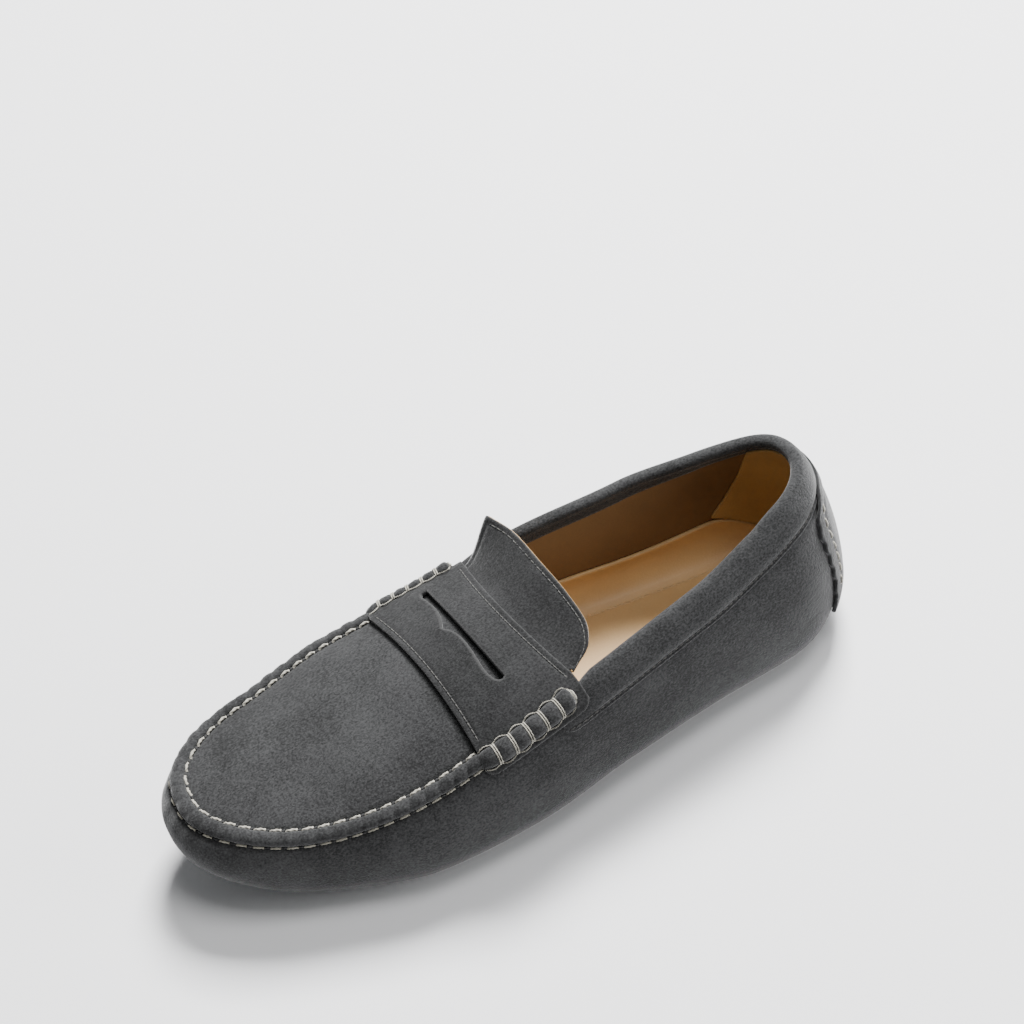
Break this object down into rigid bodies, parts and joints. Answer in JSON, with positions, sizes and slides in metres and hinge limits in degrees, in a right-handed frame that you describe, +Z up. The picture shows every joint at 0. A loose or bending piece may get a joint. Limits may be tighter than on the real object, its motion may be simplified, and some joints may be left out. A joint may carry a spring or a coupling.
{
  "type": "driving moccasin",
  "caption": "Left driving moccasin in grey suede with a raised moccasin seam, slotted saddle strap, gathered rolls, folded collar, heel patch and a studded rubber sole.",
  "frame": {"origin": "middle of the shoe's plan, on the plane that the studs stand on", "axes": "+Z up, +Y towards the heel, +X towards the lateral side"},
  "size_m": [0.0972, 0.272, 0.0764],
  "materials": {
    "suede": "matte napped suede, mid grey",
    "suede_trim": "matte napped suede, darker raw edge",
    "sock_leather": "smooth tan leather, satin",
    "lining": "smooth tan lining leather with a suede heel grip",
    "thread": "twisted waxed thread, pale grey",
    "rubber": "matte moulded rubber"
  },
  "bodies": {
    "root": {"upper": "suede", "tongue": "suede", "saddle_strap": "suede", "beefroll_lateral": "suede", "beefroll_medial": "suede", "collar_binding": "suede", "heel_tab": "suede_trim", "insole": "sock_leather", "sole": "rubber"}
  },
  "joints": []
}
